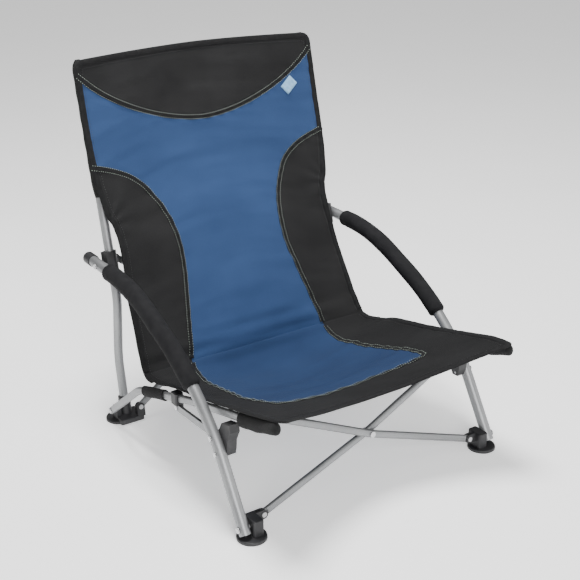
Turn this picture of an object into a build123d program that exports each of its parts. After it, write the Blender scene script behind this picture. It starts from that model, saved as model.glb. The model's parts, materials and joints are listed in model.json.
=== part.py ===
from build123d import *
import math
import os

# Low folding camp chair. Millimetres, +Z up, the sitter faces -Y.
# The origin is on the floor, under the centre of the whole outline.
os.makedirs("parts", exist_ok=True)

# ---- driving dimensions ----
front_line = -246.6     # y of the front feet; depths below are measured back from this line
rear_depth = 453.5      # front feet to rear feet
foot_x = 240.0          # half the track of the feet
foot_radius = 24.5
foot_height = 5.5

post_x = 229.0          # back posts
post_radius = 8.0
arm_x = 253.5           # armrest and front leg, one bent tube on each side
arm_radius = 9.5
tube_wall = 1.2
foam_radius = 15.0
rail_height = 14.0      # flat-oval seat rail
rail_width = 9.0
bar_height = 13.0       # flat-oval cross bars
bar_width = 9.0
bar_spacing = 12.0      # between the middle planes of two crossing bars
lug_thickness = 4.0     # flattened bar ends
lug_radius = 6.0
ear_thickness = 3.0
side_gap = 0.3          # side clearance between flat faces that turn on each other
clearance = 0.5         # gap between pieces that pass each other
pin_radius = 2.5
axle_radius = 3.0       # the large pins of legs, arms and rails
running_gap = 0.05      # radial clearance of every pin that something turns on
sling_thickness = 2.4

# heads, as a ratio to their pin's radius and as a thickness, and the rounding of edges
head_ratio = 1.7
wide_ratio = 2.0
head_height = 2.0
small_head = 1.6
head_round = 1.2
edge_round = 2.0
through = 40.0          # a cut this long passes right through any fitting

# cross bars, as half width and rise in the leaning plane of each pair
front_low = (210.0, -74.5)
front_high = (186.0, 85.0)
front_lean = math.atan(0.12)
front_centre = (18.9, 98.0)     # depth and height of the middle rivet
rear_low = (210.0, -139.5)
rear_high = (210.0, 139.5)
rear_lean = math.atan(0.16)
rear_centre = (456.0, 163.7)

# depth and height of the side pivots
leg_axle = (2.0, 20.0)
arm_axle = (462.0, 303.0)
rail_axle = (447.0, 24.0)
link_axle = (96.0, 130.0)       # side link on the front-leg bracket
link_rear = (228.0, 124.0)      # side link under the rail clip


def at(x, depth, height):
    """A point from its depth behind the front feet."""
    return Vector(x, front_line + depth, height)


def finish(builder, label):
    builder.part.label = label
    export_step(builder.part, f"parts/{label}.step")


def across(x, depth, height, side):
    """A plane at one side that faces +X: its local x is depth and its local y is height."""
    return Plane(origin=at(side * x, depth, height), x_dir=(0, 1, 0), z_dir=(1, 0, 0))


# ---- back posts, bowed to the rear below the armrest and straight above ----
post_route = [(448.0, 14.0), (465.0, 118.0), (454.0, 236.0), (549.0, 627.0)]
post_bends = (200.0, 110.0)
post_slope = (post_route[3][0] - post_route[2][0]) / (post_route[3][1] - post_route[2][1])


def post_depth(height):
    """Depth of the post's axis on its straight upper length."""
    return post_route[2][0] + (height - post_route[2][1]) * post_slope


post_direction = Vector(0, post_slope, 1).normalized()

# ---- armrest and front leg ----
arm_route = [(-3.0, 11.0), (74.0, 136.0), (157.0, 220.5), (342.0, 301.0), (508.0, 303.5)]
arm_bends = (250.0, 430.0, 330.0)

# the front-leg bracket's outline and its rivets, as depth and height
bracket_outline = [(60, 117), (72, 117), (83, 134), (89, 146), (79, 157), (73, 169),
                   (50, 175), (47, 162), (56, 144), (57, 130)]
bracket_rivets = [(65.5, 122.0), (79.5, 144.0)]
rivet_radius = 2.0
ear_radius = 7.5
bar_first = 9.0         # each bar's tube starts this far from its end pivot
bar_lug = 24.0          # length of a bar's flattened end
front_bend = 120.0      # the front bars turn at their middle rivet

# where the foam and the fabric loop end
foam_front = (144.0, 202.0)
foam_rear = (430.0, 302.3)
foam_front_cut = (0, 0.78, 0.62)
foam_rear_cut = (0, -1, -0.02)
sleeve_rear = (316.0, 120.0)
sleeve_front = (262.0, 134.0)


def scissor_plane(centre, lean):
    """The middle plane of a pair of cross bars. Its normal points to the front."""
    return Plane(
        origin=at(0, *centre),
        x_dir=(1, 0, 0),
        z_dir=(0, -math.cos(lean), math.sin(lean)),
    )


front_plane = scissor_plane(front_centre, front_lean)
rear_plane = scissor_plane(rear_centre, rear_lean)
half_spacing = bar_spacing / 2

# ---- seat rail: a flat-oval tube from the rear foot, over a knee, to the seat's front corner ----
rail_start_x = 256.5
rail_points = [(rail_start_x, 329.0, 118.0), (231.0, 190.0, 150.0), (231.0, -40.0, 210.0)]
rail_bends = (70.0, 220.0)
rail_first = 10.0           # the round tube starts this far from the axle
rail_lug_thickness = 6.0


def rail_route(side):
    """The rail's corner points on one side, from the rear foot to the front."""
    axle = at(side * rail_start_x, *rail_axle)
    knee = at(side * rail_points[0][0], *rail_points[0][1:])
    start = axle + (knee - axle).normalized() * rail_first
    return [start] + [at(side * x, d, h) for x, d, h in rail_points]


def upright_section(line):
    """A plane across the start of a line, with its local y as upright as can be."""
    tangent = line % 0
    return Plane(origin=line @ 0, x_dir=tangent.cross(Vector(0, 0, 1)), z_dir=tangent)


# ---- sizes of the fittings, in the order in which they are made ----
plug_height = 6.0
plug_round = 3.5
cap_length = 20.0
cap_radius = 10.9
cap_wall = 2.5
collar_half = 19.0
collar_radius = 12.0
wing_face = arm_x - cap_radius - clearance
wing_front = 17.0           # the wing reaches this far forward of the post's axis
wing_rear = 8.0
ear_reach = 14.0
bridge_width = 9.0
bridge_height = 20.0
collar_cut = 6.0
axle_root = post_x + post_radius + 1.5
ear_low = lug_thickness / 2 + side_gap
block_inner = 224.0
block_outer = arm_x - arm_radius - 1.2        # leaves a running gap to the leg
block_middle = (block_inner + block_outer) / 2
block_height = 33.0
block_depth = 4.0
block_length = 32.0
block_corner = 4.0
block_sink = 2.0
foot_round = 2.5
hole_root = block_inner + 6.0
clevis_reach = 18.0
clevis_half = 12.0
base_inner = 204.0
base_outer = 251.0
base_middle = (base_inner + base_outer) / 2
base_top = 12.0
base_depth = 441.0
base_length = 42.0
base_corner = 5.0
base_sink = 3.0
plate_radius = 10.0
plate_drop = 18.0
plate_inner = 243.0
plate_outer = rail_start_x - rail_lug_thickness / 2 - 1.9
plate_root = plate_inner + 1.0
socket_radius = 11.0
socket_height = 31.0
socket_sink = 3.0
socket_round = 1.5
rail_lug_outer = rail_start_x + rail_lug_thickness / 2
rail_lug_length = 26.0
rail_rise = rail_points[0][2] - rail_axle[1]
lug_angle = math.degrees(math.atan2(rail_rise, rail_points[0][1] - rail_axle[0]))
rail_lug_height = 12.5
ear_outer = ear_low + ear_thickness
plug_length = 18.0
plug_lip = 1.0
nose_round = 4.5
sleeve_wall = 2.5
link_middle = 238.0
link_thickness = 5.0
slot_half = link_thickness / 2 + side_gap
cheek = 3.5
clip_top = 152.0
clip_bottom = link_rear[1] - 7
clip_half_length = 9.0
clip_round = 3.0
clip_width = 2 * (slot_half + cheek + 1.5)
link_top = link_rear[1] + lug_radius + 1.5
cut_height = link_top - clip_bottom + 1
link_angle = math.degrees(math.atan2(link_rear[1] - link_axle[1], link_rear[0] - link_axle[0]))
link_length = math.hypot(link_rear[0] - link_axle[0], link_rear[1] - link_axle[1])
bracket_inner = 229.0
saddle_outer = arm_x - 7.0      # the saddle stays on the tube's inboard side
lug_plate_outer = link_middle - slot_half
plate_start = 76.0
link_relief = 2.0
pin_root = bracket_inner + 3.0
plate_run = link_axle[0] - plate_start
link_outer = link_middle + link_thickness / 2
rivet_outer = arm_x + arm_radius + 0.1      # the heads bear on the tube
cheek_inner = link_middle - clip_width / 2


for side_name, side in (("left", -1), ("right", 1)):
    outermost = -1 if side > 0 else 0     # the place of the outer circle, sorted along X

    # ---- back post and its end plug ----
    with BuildPart() as back_post:
        with BuildLine() as post_line:
            FilletPolyline([at(side * post_x, d, h) for d, h in post_route], radius=post_bends)
        with BuildSketch(Plane(origin=post_line.line @ 0, z_dir=post_line.line % 0)):
            Circle(post_radius)
            Circle(post_radius - tube_wall, mode=Mode.SUBTRACT)
        sweep()
    finish(back_post, f"back_post_{side_name}")

    with BuildPart() as post_plug:
        with BuildSketch(Plane(origin=post_line.line @ 1, z_dir=post_line.line % 1)):
            Circle(post_radius)
        extrude(amount=plug_height)
        fillet(post_plug.edges().filter_by(GeomType.CIRCLE).sort_by(Axis.Z)[-1], radius=plug_round)
    finish(post_plug, f"post_plug_{side_name}")

    # ---- armrest and front leg in one tube, with its axle holes ----
    with BuildPart() as arm_tube:
        with BuildLine() as arm_line:
            FilletPolyline([at(side * arm_x, d, h) for d, h in arm_route], radius=arm_bends)
        with BuildSketch(Plane(origin=arm_line.line @ 0, z_dir=arm_line.line % 0)):
            Circle(arm_radius)
            Circle(arm_radius - tube_wall, mode=Mode.SUBTRACT)
        sweep()
        for (depth, height), hole in ((leg_axle, axle_radius + running_gap), (arm_axle, axle_radius)):
            with BuildSketch(across(arm_x - arm_radius - clearance, depth, height, side)):
                Circle(hole)
            extrude(amount=side * through, mode=Mode.SUBTRACT)
        for depth, height in bracket_rivets:
            with BuildSketch(across(arm_x - arm_radius - clearance, depth, height, side)):
                Circle(rivet_radius)
            extrude(amount=side * through, mode=Mode.SUBTRACT)
    finish(arm_tube, f"arm_leg_tube_{side_name}")

    with BuildPart() as foam:
        with BuildLine() as foam_line:
            FilletPolyline([at(side * arm_x, d, h) for d, h in arm_route], radius=arm_bends)
        with BuildSketch(Plane(origin=foam_line.line @ 0, z_dir=foam_line.line % 0)):
            Circle(foam_radius)
            Circle(arm_radius, mode=Mode.SUBTRACT)
        sweep()
        split(bisect_by=Plane(origin=at(0, *foam_front), z_dir=foam_front_cut), keep=Keep.TOP)
        split(bisect_by=Plane(origin=at(0, *foam_rear), z_dir=foam_rear_cut), keep=Keep.TOP)
    finish(foam, f"arm_foam_{side_name}")

    arm_end = Plane(origin=arm_line.line @ 1, z_dir=arm_line.line % 1)
    with BuildPart() as arm_cap:
        with BuildSketch(arm_end.offset(-cap_length)):
            Circle(cap_radius)
        extrude(amount=cap_length + cap_wall)
        fillet(arm_cap.edges().filter_by(GeomType.CIRCLE).sort_by(Axis.Y)[-1], radius=edge_round)
        with BuildSketch(arm_end.offset(-cap_length)):
            Circle(arm_radius)
        extrude(amount=cap_length, mode=Mode.SUBTRACT)
    finish(arm_cap, f"arm_cap_{side_name}")

    # ---- arm bracket: slides on the post, and its wing carries the arm's rear axle ----
    collar_plane = Plane(
        origin=at(side * post_x, post_depth(arm_axle[1]), arm_axle[1]),
        x_dir=(side, 0, 0),
        z_dir=post_direction,
    )
    # the rear cross bar that ends at this bracket lies in front of the bracket's own ear
    top_offset = -half_spacing if side < 0 else half_spacing
    ear_offset = top_offset - bar_width / 2 - clearance
    bridge_depth = 15.0 if side < 0 else 3.0
    with BuildPart() as arm_bracket:
        with BuildSketch(collar_plane.offset(-collar_half)):
            Circle(collar_radius)
            with Locations(((wing_face - post_x) / 2, side * (wing_rear - wing_front) / 2)):
                Rectangle(wing_face - post_x, wing_front + wing_rear)
        extrude(amount=2 * collar_half)
        with BuildSketch(rear_plane.offset(ear_offset)):
            with Locations((side * (rear_high[0] + ear_reach / 2), rear_high[1])):
                SlotCenterToCenter(ear_reach, 2 * ear_radius)
        extrude(amount=-ear_thickness)
        with BuildSketch(rear_plane.offset(ear_offset)):
            with Locations((side * (post_x - bridge_width / 2), rear_high[1])):
                Rectangle(bridge_width, bridge_height)
        extrude(amount=bridge_depth)
        with BuildSketch(collar_plane.offset(-collar_half - collar_cut)):
            Circle(post_radius + running_gap)
        extrude(amount=2 * (collar_half + collar_cut), mode=Mode.SUBTRACT)
        with BuildSketch(across(axle_root, *arm_axle, side)):
            Circle(axle_radius + running_gap)
        extrude(amount=side * through, mode=Mode.SUBTRACT)
    finish(arm_bracket, f"arm_bracket_{side_name}")

    with BuildPart() as arm_axle_pin:
        with BuildSketch(across(axle_root, *arm_axle, side)):
            Circle(axle_radius)
        extrude(amount=side * (arm_x + arm_radius + side_gap - axle_root))
        with BuildSketch(across(arm_x + arm_radius + side_gap, *arm_axle, side)):
            Circle(head_ratio * axle_radius)
        extrude(amount=side * head_height)
        fillet(arm_axle_pin.edges().filter_by(GeomType.CIRCLE).sort_by(Axis.X)[outermost], head_round)
    finish(arm_axle_pin, f"arm_axle_{side_name}")

    # ---- front foot: a disc, a block for the leg's axle and a clevis for a cross bar ----
    front_offset = -half_spacing if side < 0 else half_spacing
    with BuildPart() as front_foot:
        with BuildSketch(Plane(origin=at(side * foot_x, 0, 0))):
            Circle(foot_radius)
        extrude(amount=foot_height)
        fillet(front_foot.edges().filter_by(GeomType.CIRCLE).sort_by(Axis.Z)[-1], radius=foot_round)
        with BuildSketch(Plane(origin=at(side * block_middle, block_depth, foot_height - block_sink))):
            RectangleRounded(block_outer - block_inner, block_length, block_corner)
        extrude(amount=block_height - foot_height + block_sink)
        fillet(front_foot.edges().group_by(Axis.Z)[-1], radius=edge_round)
        for inner in (ear_low, -ear_low - ear_thickness):
            with BuildSketch(front_plane.offset(front_offset + inner)):
                with Locations((side * (front_low[0] + clevis_reach / 2), front_low[1])):
                    SlotCenterToCenter(clevis_reach, 2 * ear_radius)
            extrude(amount=ear_thickness)
        with BuildSketch(front_plane.offset(front_offset - clevis_half)):
            with Locations((side * front_low[0], front_low[1])):
                Circle(pin_radius)
        extrude(amount=2 * clevis_half, mode=Mode.SUBTRACT)
        with BuildSketch(across(hole_root, *leg_axle, side)):
            Circle(axle_radius)
        extrude(amount=side * through, mode=Mode.SUBTRACT)
    finish(front_foot, f"front_foot_{side_name}")

    with BuildPart() as leg_axle_pin:
        with BuildSketch(across(hole_root, *leg_axle, side)):
            Circle(axle_radius)
        extrude(amount=side * (arm_x + arm_radius + side_gap - hole_root))
        with BuildSketch(across(arm_x + arm_radius + side_gap, *leg_axle, side)):
            Circle(head_ratio * axle_radius)
        extrude(amount=side * head_height)
        fillet(leg_axle_pin.edges().filter_by(GeomType.CIRCLE).sort_by(Axis.X)[outermost], head_round)
    finish(leg_axle_pin, f"leg_axle_{side_name}")

    # ---- rear foot: a disc, a base with a clevis, and an upright plate for the rail's axle ----
    rear_offset = half_spacing if side < 0 else -half_spacing
    with BuildPart() as rear_foot:
        with BuildSketch(Plane(origin=at(side * foot_x, rear_depth, 0))):
            Circle(foot_radius)
        extrude(amount=foot_height)
        fillet(rear_foot.edges().filter_by(GeomType.CIRCLE).sort_by(Axis.Z)[-1], radius=foot_round)
        with BuildSketch(Plane(origin=at(side * base_middle, base_depth, foot_height - base_sink))):
            RectangleRounded(base_outer - base_inner, base_length, base_corner)
        extrude(amount=base_top - foot_height + base_sink)
        fillet(rear_foot.edges().group_by(Axis.Z)[-1], radius=edge_round)
        with BuildSketch(across(plate_inner, *rail_axle, side)):
            Circle(plate_radius)
            with Locations((0, -plate_drop / 2)):
                Rectangle(2 * plate_radius, plate_drop)
        extrude(amount=side * (plate_outer - plate_inner))
        for inner in (ear_low, -ear_low - ear_thickness):
            with BuildSketch(rear_plane.offset(rear_offset + inner)):
                with Locations((side * rear_low[0], rear_low[1])):
                    Circle(ear_radius)
                with Locations((side * rear_low[0], rear_low[1] - clevis_reach / 2)):
                    Rectangle(2 * ear_radius, clevis_reach)
            extrude(amount=ear_thickness)
        with BuildSketch(rear_plane.offset(rear_offset - clevis_half)):
            with Locations((side * rear_low[0], rear_low[1])):
                Circle(pin_radius)
        extrude(amount=2 * clevis_half, mode=Mode.SUBTRACT)
        with BuildSketch(across(plate_root, *rail_axle, side)):
            Circle(axle_radius)
        extrude(amount=side * through, mode=Mode.SUBTRACT)
    finish(rear_foot, f"rear_foot_{side_name}")

    socket_plane = Plane(origin=post_line.line @ 0, z_dir=post_line.line % 0)
    with BuildPart() as post_socket:
        with BuildSketch(socket_plane.offset(-socket_sink)):
            Circle(socket_radius)
        extrude(amount=socket_height + socket_sink)
        fillet(post_socket.edges().filter_by(GeomType.CIRCLE).sort_by(Axis.Z)[-1], radius=socket_round)
        with BuildSketch(socket_plane):
            Circle(post_radius)
        extrude(amount=socket_height, mode=Mode.SUBTRACT)
    finish(post_socket, f"post_socket_{side_name}")

    with BuildPart() as rail_axle_pin:
        with BuildSketch(across(plate_root, *rail_axle, side)):
            Circle(axle_radius)
        extrude(amount=side * (rail_lug_outer + side_gap - plate_root))
        with BuildSketch(across(rail_lug_outer + side_gap, *rail_axle, side)):
            Circle(head_ratio * axle_radius)
        extrude(amount=side * head_height)
        fillet(rail_axle_pin.edges().filter_by(GeomType.CIRCLE).sort_by(Axis.X)[outermost], head_round)
    finish(rail_axle_pin, f"rail_axle_{side_name}")

    # ---- the clevis pins of both feet on this side ----
    for name, plane, offset, (low_x, low_rise) in (
        ("front", front_plane, front_offset, front_low),
        ("rear", rear_plane, rear_offset, rear_low),
    ):
        with BuildPart() as foot_pin:
            with BuildSketch(plane.offset(offset - ear_outer)):
                with Locations((side * low_x, low_rise)):
                    Circle(pin_radius)
            extrude(amount=2 * ear_outer)
            for face, thickness in ((ear_outer, small_head), (-ear_outer, -small_head)):
                with BuildSketch(plane.offset(offset + face)):
                    with Locations((side * low_x, low_rise)):
                        Circle(head_ratio * pin_radius)
                extrude(amount=thickness)
        finish(foot_pin, f"{name}_foot_pin_{side_name}")

    # ---- seat rail ----
    with BuildPart() as seat_rail:
        with BuildLine() as rail_line:
            FilletPolyline(rail_route(side), radius=rail_bends)
        with BuildSketch(upright_section(rail_line.line)):
            SlotOverall(rail_height, rail_width, rotation=90)
            SlotOverall(rail_height - 2 * tube_wall, rail_width - 2 * tube_wall, rotation=90,
                        mode=Mode.SUBTRACT)
        sweep()
        with BuildSketch(across(rail_start_x - rail_lug_thickness / 2, *rail_axle, side)):
            with Locations(Location((0, 0, 0), (0, 0, lug_angle))):
                with Locations((rail_lug_length / 2, 0)):
                    SlotCenterToCenter(rail_lug_length, rail_lug_height)
            Circle(axle_radius + running_gap, mode=Mode.SUBTRACT)
        extrude(amount=side * rail_lug_thickness)
    finish(seat_rail, f"seat_rail_{side_name}")

    rail_end = Plane(origin=rail_line.line @ 1, x_dir=(1, 0, 0), z_dir=rail_line.line % 1)
    with BuildPart() as rail_plug:
        with BuildSketch(rail_end):
            SlotOverall(rail_height + plug_lip, rail_width + plug_lip, rotation=90)
        extrude(amount=plug_length)
        fillet(rail_plug.edges().group_by(Axis.Y)[0], radius=nose_round)
    finish(rail_plug, f"rail_plug_{side_name}")

    # ---- fabric loop of the sling round the rail, behind the clip ----
    with BuildPart() as rail_sleeve:
        with BuildLine() as sleeve_line:
            FilletPolyline(rail_route(side), radius=rail_bends)
        with BuildSketch(upright_section(sleeve_line.line)):
            SlotOverall(rail_height + 2 * sleeve_wall, rail_width + 2 * sleeve_wall, rotation=90)
            SlotOverall(rail_height, rail_width, rotation=90, mode=Mode.SUBTRACT)
        sweep()
        split(bisect_by=Plane(origin=at(0, *sleeve_rear), z_dir=(0, -1, 0.2)), keep=Keep.TOP)
        split(bisect_by=Plane(origin=at(0, *sleeve_front), z_dir=(0, 1, -0.2)), keep=Keep.TOP)
    finish(rail_sleeve, f"rail_sleeve_{side_name}")

    # ---- clip under the rail, with one cheek inboard of the side link's rear end ----
    with BuildPart() as rail_clip:
        with BuildSketch(Plane(origin=at(side * link_middle, link_rear[0], clip_bottom))):
            RectangleRounded(clip_width, 2 * clip_half_length, clip_round)
        extrude(amount=clip_top - clip_bottom)
        with BuildLine() as clip_line:
            FilletPolyline(rail_route(side), radius=rail_bends)
        with BuildSketch(upright_section(clip_line.line)):
            SlotOverall(rail_height, rail_width, rotation=90)
        sweep(mode=Mode.SUBTRACT)
        with BuildSketch(across(link_middle - slot_half, link_rear[0], clip_bottom - 1, side)):
            with Locations((0, cut_height / 2)):
                Rectangle(4 * clip_half_length, cut_height)
        extrude(amount=side * through, mode=Mode.SUBTRACT)
    finish(rail_clip, f"rail_clip_{side_name}")

    # ---- side link from the front-leg bracket to the clip ----
    with BuildPart() as side_link:
        with BuildSketch(across(link_middle - link_thickness / 2, *link_axle, side)):
            with Locations(Location((0, 0, 0), (0, 0, link_angle))):
                with Locations((link_length / 2, 0)):
                    SlotCenterToCenter(link_length, 2 * lug_radius)
            Circle(pin_radius + running_gap, mode=Mode.SUBTRACT)
        extrude(amount=side * link_thickness)
    finish(side_link, f"side_link_{side_name}")

    # ---- front-leg bracket: a saddle on the leg, a rest for the rail and a lug for the link ----
    with BuildPart() as leg_bracket:
        with BuildSketch(across(bracket_inner, 0, 0, side)):
            with BuildLine():
                Polyline(bracket_outline, close=True)
            make_face()
        extrude(amount=side * (saddle_outer - bracket_inner))
        with BuildSketch(across(pin_root, 0, 0, side)):
            with Locations((plate_start + plate_run / 2, link_axle[1])):
                SlotCenterToCenter(plate_run, 2 * ear_radius)
        extrude(amount=side * (lug_plate_outer - pin_root))
        with BuildSketch(across(lug_plate_outer, *link_axle, side)):
            Circle(lug_radius + link_relief)
        extrude(amount=side * through, mode=Mode.SUBTRACT)
        with BuildLine() as saddle_line:
            FilletPolyline([at(side * arm_x, d, h) for d, h in arm_route], radius=arm_bends)
        with BuildSketch(Plane(origin=saddle_line.line @ 0, z_dir=saddle_line.line % 0)):
            Circle(arm_radius)
        sweep(mode=Mode.SUBTRACT)
        with BuildSketch(across(bracket_inner, *link_axle, side)):
            Circle(pin_radius)
        extrude(amount=side * through, mode=Mode.SUBTRACT)
        for depth, height in bracket_rivets:
            with BuildSketch(across(bracket_inner - clearance, depth, height, side)):
                Circle(rivet_radius)
            extrude(amount=side * through, mode=Mode.SUBTRACT)
    finish(leg_bracket, f"leg_bracket_{side_name}")

    with BuildPart() as link_pin:
        with BuildSketch(across(pin_root, *link_axle, side)):
            Circle(pin_radius)
        extrude(amount=side * (link_outer + side_gap - pin_root))
        with BuildSketch(across(link_outer + side_gap, *link_axle, side)):
            Circle(head_ratio * pin_radius)
        extrude(amount=side * small_head)
    finish(link_pin, f"link_pin_{side_name}")

    with BuildPart() as leg_rivets:
        for depth, height in bracket_rivets:
            with BuildSketch(across(bracket_inner, depth, height, side)):
                Circle(rivet_radius)
            extrude(amount=side * (rivet_outer - bracket_inner))
            with BuildSketch(across(rivet_outer, depth, height, side)):
                Circle(wide_ratio * rivet_radius)
            extrude(amount=side * small_head)
    finish(leg_rivets, f"leg_rivets_{side_name}")

    # ---- rivets of the clip's cheek and of the link's rear end ----
    with BuildPart() as clip_rivet:
        with BuildSketch(across(cheek_inner, *link_rear, side)):
            Circle(head_ratio * pin_radius)
        extrude(amount=-side * small_head)
    finish(clip_rivet, f"clip_rivet_{side_name}")

    with BuildPart() as link_rivet:
        with BuildSketch(across(link_outer, *link_rear, side)):
            Circle(head_ratio * pin_radius)
        extrude(amount=side * small_head)
    finish(link_rivet, f"link_rivet_{side_name}")

# ---- cross bars: bar a rises to the right, bar b to the left ----
for name, plane, low, high, bend in (
    ("front", front_plane, front_low, front_high, front_bend),
    ("rear", rear_plane, rear_low, rear_high, 0.0),
):
    for letter, rise_to, offset in (
        ("a", 1, -half_spacing if name == "front" else half_spacing),
        ("b", -1, half_spacing if name == "front" else -half_spacing),
    ):
        bar_plane = plane.offset(offset)
        ends = [Vector(-rise_to * low[0], low[1]), Vector(rise_to * high[0], high[1])]
        directions = [(end - Vector(0, 0)).normalized() for end in ends]
        tubes = [end - direction * bar_first for end, direction in zip(ends, directions)]
        tube_ends = [(end.X, end.Y) for end in tubes]
        with BuildPart() as cross_bar:
            with BuildLine(bar_plane) as bar_line:
                if bend:
                    FilletPolyline(tube_ends[0], (0, 0), tube_ends[1], radius=bend)
                else:
                    Line(tube_ends[0], tube_ends[1])
            section_plane = Plane(
                origin=bar_line.line @ 0,
                x_dir=bar_plane.z_dir,
                z_dir=bar_line.line % 0,
            )
            with BuildSketch(section_plane):
                SlotOverall(bar_height, bar_width, rotation=90)
                SlotOverall(bar_height - 2 * tube_wall, bar_width - 2 * tube_wall, rotation=90,
                            mode=Mode.SUBTRACT)
            sweep()
            for end, direction in zip(ends, directions):
                middle = end - direction * bar_lug / 2
                turn = math.degrees(math.atan2(direction.Y, direction.X))
                with BuildSketch(bar_plane.offset(-lug_thickness / 2)):
                    with Locations(Location((middle.X, middle.Y, 0), (0, 0, turn))):
                        SlotCenterToCenter(bar_lug, 2 * lug_radius)
                extrude(amount=lug_thickness)
            with BuildSketch(bar_plane.offset(-bar_width)):
                with Locations((ends[0].X, ends[0].Y)):
                    Circle(pin_radius + running_gap)
                with Locations((0, 0)):
                    Circle(pin_radius if letter == "a" else pin_radius + running_gap)
            extrude(amount=2 * bar_width, mode=Mode.SUBTRACT)
        finish(cross_bar, f"{name}_cross_bar_{letter}")

    # the middle rivet, with a washer between the bars, turns with bar a
    washer_half = (bar_spacing - bar_width) / 2 - side_gap
    reach = half_spacing + bar_width / 2 + side_gap
    with BuildPart() as middle_rivet:
        with BuildSketch(plane.offset(-reach)):
            Circle(pin_radius)
        extrude(amount=2 * reach)
        for face, thickness in ((reach, small_head), (-reach, -small_head)):
            with BuildSketch(plane.offset(face)):
                Circle(wide_ratio * pin_radius)
            extrude(amount=thickness)
        with BuildSketch(plane.offset(-washer_half)):
            Circle(wide_ratio * pin_radius)
        extrude(amount=2 * washer_half)
    finish(middle_rivet, f"{name}_middle_rivet")


# ---- sling: two panels of cloth that meet at the crease behind the sitter's hips ----
# each row is the edge's half width, depth and height, then the middle's depth and height
seat_rows = [
    (226.0, -64.0, 225.5, -3.0, 173.0),
    (236.0, -20.0, 218.5, 32.0, 166.0),
    (238.0, 60.0, 199.0, 102.0, 149.0),
    (238.0, 150.0, 177.0, 174.0, 120.0),
    (238.0, 240.0, 157.0, 254.0, 99.0),
    (237.0, 300.0, 140.5, 320.0, 104.0),
    (236.0, 333.0, 139.5, 341.0, 126.0),
]
back_rows = [
    (235.5, 339.0, 146.0, 345.0, 136.5),
    (232.0, 362.0, 170.0, 355.0, 170.0),
    (229.0, 385.0, 203.0, 380.0, 219.0),
    (226.0, 411.0, 250.0, 419.0, 291.0),
    (227.0, 440.0, 328.0, 460.0, 375.0),
    (234.0, 470.0, 400.0, 495.0, 439.0),
    (238.0, 497.0, 480.0, 517.0, 510.0),
    (238.0, 519.0, 560.0, 539.0, 585.0),
    (236.0, 537.0, 645.0, 556.0, 650.0),
]
hang_power = 1.5        # how the cloth hangs between its edges: 2 is a parabola
columns = 13


def cloth_face(rows):
    """A smooth face through the rows, hanging between its left and right edges."""
    grid = []
    for half_width, edge_depth, edge_height, middle_depth, middle_height in rows:
        row = []
        for i in range(columns):
            v = 2 * i / (columns - 1) - 1
            share = abs(v) ** hang_power
            depth = middle_depth + (edge_depth - middle_depth) * share
            height = middle_height + (edge_height - middle_height) * share
            row.append(at(v * half_width, depth, height))
        grid.append(row)
    return Face.make_surface_from_array_of_points(grid, tol=0.3)


for label, rows in (("sling_seat", seat_rows), ("sling_back", back_rows)):
    with BuildPart() as sling_panel:
        thicken(cloth_face(rows), amount=sling_thickness / 2, both=True)
    finish(sling_panel, label)
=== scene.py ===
import json
import math

import bpy
import numpy as np
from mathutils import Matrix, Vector, noise


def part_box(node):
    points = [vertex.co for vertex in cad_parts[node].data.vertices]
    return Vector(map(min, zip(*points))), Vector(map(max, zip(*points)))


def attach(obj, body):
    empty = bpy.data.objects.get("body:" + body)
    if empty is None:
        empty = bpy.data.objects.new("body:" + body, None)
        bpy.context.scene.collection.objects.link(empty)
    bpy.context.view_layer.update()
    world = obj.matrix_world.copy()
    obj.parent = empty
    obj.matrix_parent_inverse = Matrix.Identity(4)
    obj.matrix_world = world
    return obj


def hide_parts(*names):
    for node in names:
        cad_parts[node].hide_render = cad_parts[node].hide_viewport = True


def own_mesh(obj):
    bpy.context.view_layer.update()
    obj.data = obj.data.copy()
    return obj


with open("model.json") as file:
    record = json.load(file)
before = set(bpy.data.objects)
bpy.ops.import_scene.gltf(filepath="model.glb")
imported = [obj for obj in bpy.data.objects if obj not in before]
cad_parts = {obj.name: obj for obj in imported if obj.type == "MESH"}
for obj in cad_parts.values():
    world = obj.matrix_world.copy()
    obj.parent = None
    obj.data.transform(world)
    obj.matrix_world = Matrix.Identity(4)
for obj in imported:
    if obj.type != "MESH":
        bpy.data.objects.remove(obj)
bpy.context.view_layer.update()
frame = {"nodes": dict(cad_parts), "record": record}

# Folding camp chair. Metres in the frame; the sling's own measures are in millimetres,
# as l along the cloth from its front edge and v across it from -1 (left) to 1 (right).
MM = 0.001
FOOT_RADIUS = 24.5 * MM
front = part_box("front_foot_left")[0].y + FOOT_RADIUS      # y of the front feet
post_x = (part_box("back_post_right")[0].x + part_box("back_post_right")[1].x) / 2
arm_x = (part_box("arm_foam_right")[0].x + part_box("arm_foam_right")[1].x) / 2

# as the chair folds, the right post comes in to this share of its distance from the left one
FOLD_KEEP = 0.262
ACROSS = (1, 0, 0)

# ---------------------------------------------------------------- the sling's surface

# half width, edge depth, edge height, middle depth, middle height, from the front to the top
ROWS = np.array([
    (228, -66, 228.5, -5, 173),
    (236, -22, 220.5, 32, 166),
    (238, 60, 199, 102, 149),
    (238, 150, 177, 174, 119.5),
    (238, 240, 157, 254, 98.5),
    (237, 300, 138, 320, 103),
    (236, 338, 134, 343, 129),
    (233, 363, 163, 355, 170),
    (229, 385, 203, 380, 219),
    (227, 411, 250, 419, 291),
    (228, 440, 328, 460, 375),
    (235, 470, 400, 495, 439),
    (239, 497, 480, 517, 510),
    (239, 519.5, 560, 539, 585),
    (237, 539, 646, 556, 650),
], float)
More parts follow.
